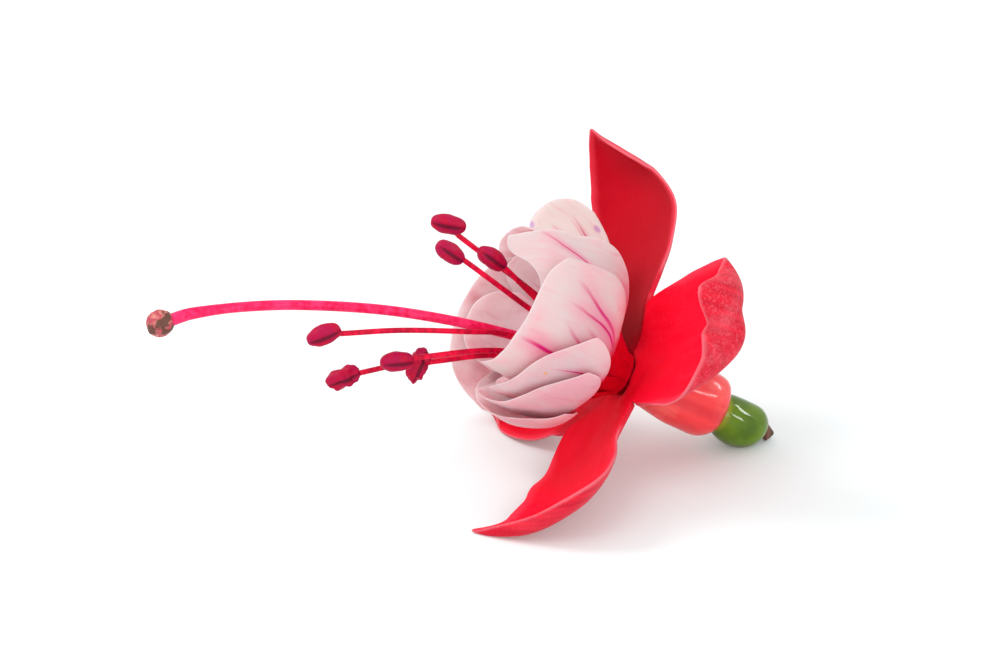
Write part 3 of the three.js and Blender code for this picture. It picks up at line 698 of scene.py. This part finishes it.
# how much of a vein's line and halo shows at each place: a parabola through its three points
def veinMarks(shader, vein, along, side, wander):
    (a0, s0), (a1, s1), (a2, s2) = vein['points']
    bend = ((s1 - s0) / (a1 - a0) - (s2 - s0) / (a2 - a0)) / (a1 - a2)
    slope = (s1 - s0) / (a1 - a0) - bend * (a1 - a0)
    run = along - a0
    off = abs(side - (run * slope + run * run * bend + s0) + (wander - 0.5) * 0.8)
    ends = shader.rise(along, a0 - 1, a0 + 1) * (1 - shader.rise(along, a2 - vein['fade'], a2))
    line = (1 - shader.rise(off, vein['width'] * 0.2, vein['width'])) * ends
    halo = (1 - shader.rise(off, 0.0, vein['width'] * 6)) * ends * 0.6
    return line, halo


def petalSkin(name, paper, flush, petal):
    shader = Shader(name)
    along, side, edge, seed = [shader.mark(m) for m in ('along', 'side', 'edge', 'seed')]
    place = shader.place()
    fold = colour(corolla['fold'])
    streaks = shader.grain(shader.join(side * 1.1, along * 0.12, seed), 1.1, 3.0)
    cloud = shader.grain(shader.join(side * 0.22, along * 0.2, seed + 4), 1.0, 3.0)
    wander = shader.grain(shader.join(side * 0.3, along * 0.2, seed + 9), 1.0, 2.0)
    shade = shader.blend(shader.rise(cloud, 0.38, 0.7) * 0.6 + flush, colour(paper),
                         colour(corolla['blush']))
    shade = shader.blend(shader.rise(streaks, 0.5, 0.75) * 0.14, shade, fold)
    pink = (1 - shader.rise(along + streaks * 6, 8, 19)) * (0.6 + 0.6 * flush)
    shade = shader.blend(pink, shade, fold)
    fan = shader.maths('PINGPONG', side * 0.3 + wander, 0.5)  # faint veins, here and there
    patch = shader.rise(shader.grain(shader.join(side * 0.2, along * 0.25, seed + 15), 1.0, 1.0), 0.42, 0.6)
    faint = (1 - shader.rise(fan, 0.0, 0.1)) * patch * (1 - shader.rise(along, 10, 22)) * 0.5
    shade = shader.blend(faint, shade, fold)
    for vein in petal['veins']:
        line, halo = veinMarks(shader, vein, along, side, wander)
        shade = shader.blend(halo, shade, fold)
        shade = shader.blend(line, shade, colour(corolla['vein']))
    shade = shader.blend((1 - shader.rise(edge, 0.05, 0.3)) * 0.35, shade, colour(corolla['cream']))
    for (spotAlong, spotSide), radius, tone in petal['spots']:
        far = (along - spotAlong) * (along - spotAlong) + (side - spotSide) * (side - spotSide)
        shade = shader.blend((1 - shader.rise(far, 0.0, radius * radius)) * 0.75, shade, colour(tone))
    foot = 1 - shader.rise(along + streaks * 3, 5.4, 13)
    shade = shader.blend(foot, shade, colour(corolla['rose']))
    shade = shader.blend(1 - shader.rise(along, 3.5, 6), shade, colour(corolla['base']))
    cells = shader.grain(place, 3000, 2.0)
    return shader.finish({
        'Base Color': shade,
        'Roughness': 0.45 + cells * 0.2,
        'Normal': shader.bump(streaks + cells * 0.2, 0.16, 0.12),
        'Subsurface Weight': 0.5, 'Subsurface Radius': (1, 0.4, 0.4), 'Subsurface Scale': 0.0025,
        'Specular IOR Level': 0.15,
    })


def makePetal(petal, number, materials):
    line = corolla[petal['line']]
    midrib = ProfileLine(line)
    clawSpan = math.degrees(corolla['clawHalf'] / line[0][0])

    def placeAt(u, v):
        s, t = u, 2 * v - 1
        tip = curveThrough(petal['rim'], t) * midrib.length
        d = s * tip
        r, h = midrib.at(d)
        span = clawSpan + (petal['half'] - clawSpan) * smooth(d, 2, petal['wide'])
        around = petal['claw'] + (petal['azimuth'] - petal['claw']) * smooth(d, 1, 8) + span * t
        swell = corolla['upperBulge'] * math.cos(math.radians(around - corolla['bulgeAzimuth']))
        bulge = 1 + (petal['size'] * (corolla['meanBulge'] + swell) - 1) * smooth(d, 2, 10)
        depth = petal['tuck'] * ((1 - t) / 2)**petal['turn'] * smooth(d, 1, 7)
        fromFoot = abs((around - corolla['footAzimuth'] + 540) % 360 - 180)
        rising = smooth(d, 1, 4.5) * (1 - smooth(d, 7, 16))
        rise = corolla['footRise'] * smooth(fromFoot, 20, 70) * rising
        place = aroundAxis(around, r * bulge - depth, h + rise)
        wave = ripple(place, 0.17, 1.7) * corolla['waves'] * smooth(d, 5, 14)
        wave += ripple(place, 0.45, number) * corolla['ruffles'] * smooth(d, 12, 22)
        place += aroundAxis(around, wave, 0)
        arc = math.radians(span) * r * bulge
        edge = min((1 - abs(t)) * arc, (1 - s) * tip)
        return place, {'along': d, 'side': t * arc, 'edge': edge, 'seed': corolla['seedStep'] * number,
                       'body': smooth(edge, -0.4, 1.2)}

    piece = gridPiece(petal['node'] + '_blade', placeAt, corolla['rows'], corolla['columns'])
    giveThickness(piece, corolla['thickness'], corolla['thinnest'])
    finishPiece(piece, [petal['node']], materials)


for number, petal in enumerate(corolla['petals']):
    petal = {**corolla['usual'], 'claw': petal['azimuth'], **petal}
    outside = petalSkin(petal['node'] + '_cream', corolla['cream'], petal['outFlush'], petal)
    # painted light: the inner faces take the lighter colour, standing in for light through the petals
    inside = petalSkin(petal['node'] + '_lining', petal['litLining'], petal['inFlush'], petal)
    makePetal(petal, number, [outside, inside])
print('corolla ready')


# Stamens: root is the filament's azimuth in the mouth, way the places it runs through and middle
# the middle of its anther, which lies along the given direction. rootLine is the start of every
# filament as (distance from the axis, height along it). sunk: the share of the last stretch that
# lies inside the anther. crinkle: how shrivelled the anther is.
stamens = {
    'rootLine': [(1.35, -2.8), (1.35, 0.2), (1.55, 5)], 'radius': 0.34, 'rows': 70, 'columns': 14,
    'halfLength': 2.2, 'halfWidth': 1.25, 'sunk': 0.5, 'antherRows': 40, 'antherColumns': 48,
    'grooveDepth': 0.2, 'grooveSharpness': 14, 'unevenness': 0.12,
    'crimson': 'e60a3c', 'dark': 'b0002c', 'pollen': 'a4003e', 'groove': '560020', 'gloss': 'c41e5e',
    'all': [
        {'root': 40, 'way': [(4.4, 1.4, 13.8), (7.5, 2.9, 27.4)], 'middle': (8.3, 3.1, 29.4),
         'along': (0.3, -0.4, -0.9)},
        {'root': -50, 'way': [(3.2, -1, 15.6), (6, -1.9, 27.6)], 'middle': (6.3, -2, 30.1),
         'along': (-0.2, 0.1, -1)},
        {'root': -5, 'way': [(4.1, 0.2, 14), (6.4, 0.7, 20.6)], 'middle': (7, 0.6, 23.1),
         'along': (-0.2, 0, -1)},
        {'root': -95, 'way': [(-0.8, -1.1, 17.2), (-2.1, -1.6, 22.1), (-5, -2.5, 31.3), (-7.9, -3, 38.3)],
         'middle': (-8.9, -3, 40.5), 'along': (0.75, -0.16, -0.66)},
        {'root': 130, 'way': [(-3.5, 0.6, 15.9), (-7.1, 1.1, 22.8), (-12.9, 1.9, 30.8)],
         'middle': (-14.4, 2, 32.7), 'along': (0.7, 0, -0.7), 'crinkle': 0.4},
        {'root': -140, 'way': [(-2.8, -2, 17.3), (-7.1, -3.6, 28)], 'middle': (-8.4, -4, 30.4),
         'along': (0.4, 0.1, -0.9)},
        {'root': 175, 'way': [(-3.9, -0.2, 16.2), (-7.5, -1.2, 24.5)], 'middle': (-8.5, -1.6, 26.3),
         'along': (0.9, 0.2, 0), 'crinkle': 0.4},
        {'root': 85, 'way': [(0.9, 1.9, 7.5)], 'middle': (1.6, 2.8, 10), 'along': (-0.3, -0.33, -0.88)},
    ],
}


# a round rod along a smooth curve through the points, with its two ends closed
def rodPiece(name, points, radiusAt, rows, columns):
    points = [Vector(p) for p in points]
    lengths = [0]
    for a, b in zip(points, points[1:]):
        lengths.append(lengths[-1] + (b - a).length)
    routes = [[(d, p[k]) for d, p in zip(lengths, points)] for k in range(3)]

    def middleAt(d):
        return Vector([curveThrough(route, d) for route in routes])

    def placeAt(u, v):
        inner = min(max((u - 0.01) / 0.98, 0), 1)
        d = inner * lengths[-1]
        ahead = (middleAt(min(d + 0.1, lengths[-1])) - middleAt(max(d - 0.1, 0))).normalized()
        side = Vector((0, 1, 0)).cross(ahead).normalized()
        angle = 2 * math.pi * v
        r = 0 if u in (0, 1) else radiusAt(inner)
        spoke = side * math.cos(angle) + ahead.cross(side) * math.sin(angle)
        return middleAt(d) + spoke * r, {'along': d}

    return gridPiece(name, placeAt, rows, columns, closed=True)


def threadSkin(name, body, deep, roughness):
    shader = Shader(name)
    along = shader.mark('along')
    place = shader.place()
    tone = shader.grain(shader.join(along * 0.3, 0.0, 0.0), 1.0, 2.0)
    fine = shader.grain(place, 1500, 3.0)
    shade = shader.blend(shader.rise(tone * 0.5 + fine * 0.5, 0.4, 0.62), colour(deep), colour(body))
    return shader.finish({
        'Base Color': shade, 'Roughness': roughness + fine * 0.15, 'Specular IOR Level': 0.12,
        'Normal': shader.bump(fine, 0.25, 0.05),
        'Subsurface Weight': 0.15, 'Subsurface Radius': (1, 0.2, 0.25), 'Subsurface Scale': 0.0005,
    })


def antherSkin():
    shader = Shader('antherSkin')
    groove = shader.mark('groove')
    place = shader.place()
    cloud = shader.grain(place, 700, 3.0)
    pits = shader.grain(place, 3400, 2.0)
    shade = shader.blend(shader.rise(cloud, 0.35, 0.7), colour(stamens['pollen']), colour(stamens['dark']))
    # painted highlight: pale pink patches standing in for gloss on the anthers
    shade = shader.blend(shader.rise(cloud, 0.62, 0.75) * 0.35, shade, colour(stamens['gloss']))
    # painted shade: the groove between the pollen sacs darkened
    shade = shader.blend(shader.rise(groove, 0.35, 0.9) * 0.85, shade, colour(stamens['groove']))
    return shader.finish({
        'Base Color': shade, 'Roughness': 0.36 + pits * 0.25, 'Specular IOR Level': 0.14,
        'Normal': shader.bump(pits + cloud, 0.35, 0.1),
        'Subsurface Weight': 0.1, 'Subsurface Radius': (1, 0.2, 0.4), 'Subsurface Scale': 0.0005,
    })


def makeStamen(stamen, number, threadMaterial, sacMaterial):
    path = [aroundAxis(stamen['root'], *place) for place in stamens['rootLine']] + stamen['way']
    path.append(Vector(path[-1]).lerp(Vector(stamen['middle']), stamens['sunk']))
    thread = rodPiece(f'filament_{number}_thread', path, lambda u: stamens['radius'], stamens['rows'],
                      stamens['columns'])
    finishPiece(thread, [f'filament_{number}'], [threadMaterial])

    axis = Vector(stamen['along']).normalized()
    side = Vector((0, 1, 0)).cross(axis).normalized()
    up = side.cross(axis)
    centre = Vector(stamen['middle'])

    def placeAt(u, v):
        polar, angle = math.pi * u, 2 * math.pi * v
        groove = max(math.cos(angle), 0)**stamens['grooveSharpness'] * math.sin(polar)**0.5
        r = stamens['halfWidth'] * math.sin(polar)**0.8 * (1 - stamens['grooveDepth'] * groove)
        p = centre - axis * stamens['halfLength'] * math.cos(polar)
        p += up * (r * math.cos(angle)) + side * (r * math.sin(angle))
        p += (p - centre).normalized() * stamens['unevenness'] * ripple(p, 0.9, number)
        p += (p - centre).normalized() * stamen.get('crinkle', 0) * ripple(p, 1.3, number)
        return p, {'groove': groove}

    sacs = gridPiece(f'anther_{number}_sacs', placeAt, stamens['antherRows'], stamens['antherColumns'],
                     closed=True)
    finishPiece(sacs, [f'anther_{number}'], [sacMaterial])


filamentSkin = threadSkin('filamentSkin', stamens['crimson'], stamens['dark'], 0.35)
sacSkin = antherSkin()
for number, stamen in enumerate(stamens['all'], 1):
    makeStamen(stamen, number, filamentSkin, sacSkin)
print('stamens ready')


# Style: one long thread through the tube, which flares a little into the stigma's knob.
style = {
    'path': [(0, 0, -14.9), (0, 0, -6), (0, 0, 1), (-0.25, 0, 9), (-1, 0, 16.8), (-2.2, 0, 25),
             (-4.2, 0, 34), (-7.4, 0, 43.9), (-10.4, 0, 50.9), (-13.4, 0, 56.3), (-15, 0, 58.2)],
    'radius': 0.63, 'flare': 0.25, 'rows': 120, 'columns': 20, 'body': 'f5356e', 'deep': 'e0104c',
    'knobMiddle': (-15.9, 0, 59.3), 'knobRadius': 1.65, 'knobLobes': 4, 'lobeHeight': 0.07,
    'knobRows': 60, 'knobColumns': 64,
    'tan': 'cc7a70', 'rose': 'b0384a', 'olive': '4a2a16',
}


def stigmaSkin():
    shader = Shader('stigmaSkin')
    place = shader.place()
    grains = shader.grain(place, 1500, 3.0, 0.7)
    cloud = shader.grain(place, 520, 3.0)
    shade = shader.blend(shader.rise(grains, 0.4, 0.6), colour(style['rose']), colour(style['tan']))
    shade = shader.blend(shader.rise(cloud, 0.52, 0.6) * 0.9, shade, colour(style['olive']))
    return shader.finish({
        'Base Color': shade, 'Roughness': 0.6 + grains * 0.2, 'Normal': shader.bump(grains, 0.8, 0.2),
        'Subsurface Weight': 0.1, 'Subsurface Radius': (1, 0.6, 0.4), 'Subsurface Scale': 0.0005,
    })


def makeStyle():
    def radiusAt(u):
        return style['radius'] * (1 + style['flare'] * smooth(u, 0.9, 1))

    thread = rodPiece('style_thread', style['path'], radiusAt, style['rows'], style['columns'])
    finishPiece(thread, ['style'], [threadSkin('styleSkin', style['body'], style['deep'], 0.3)])
    centre = Vector(style['knobMiddle'])

    def placeAt(u, v):
        polar, angle = math.pi * u, 2 * math.pi * v
        lobe = 1 + style['lobeHeight'] * math.cos(style['knobLobes'] * angle) * math.sin(polar)**2
        r = style['knobRadius'] * lobe
        p = Vector((r * math.sin(polar) * math.cos(angle), r * math.sin(polar) * math.sin(angle),
                    -style['knobRadius'] * math.cos(polar)))
        p *= 1 + 0.05 * ripple(p, 1.4, 2) + 0.03 * ripple(p, 4, 5)
        return centre + p, {}

    knob = gridPiece('stigma_knob', placeAt, style['knobRows'], style['knobColumns'], closed=True)
    finishPiece(knob, ['stigma'], [stigmaSkin()])


makeStyle()
print('style and stigma ready')
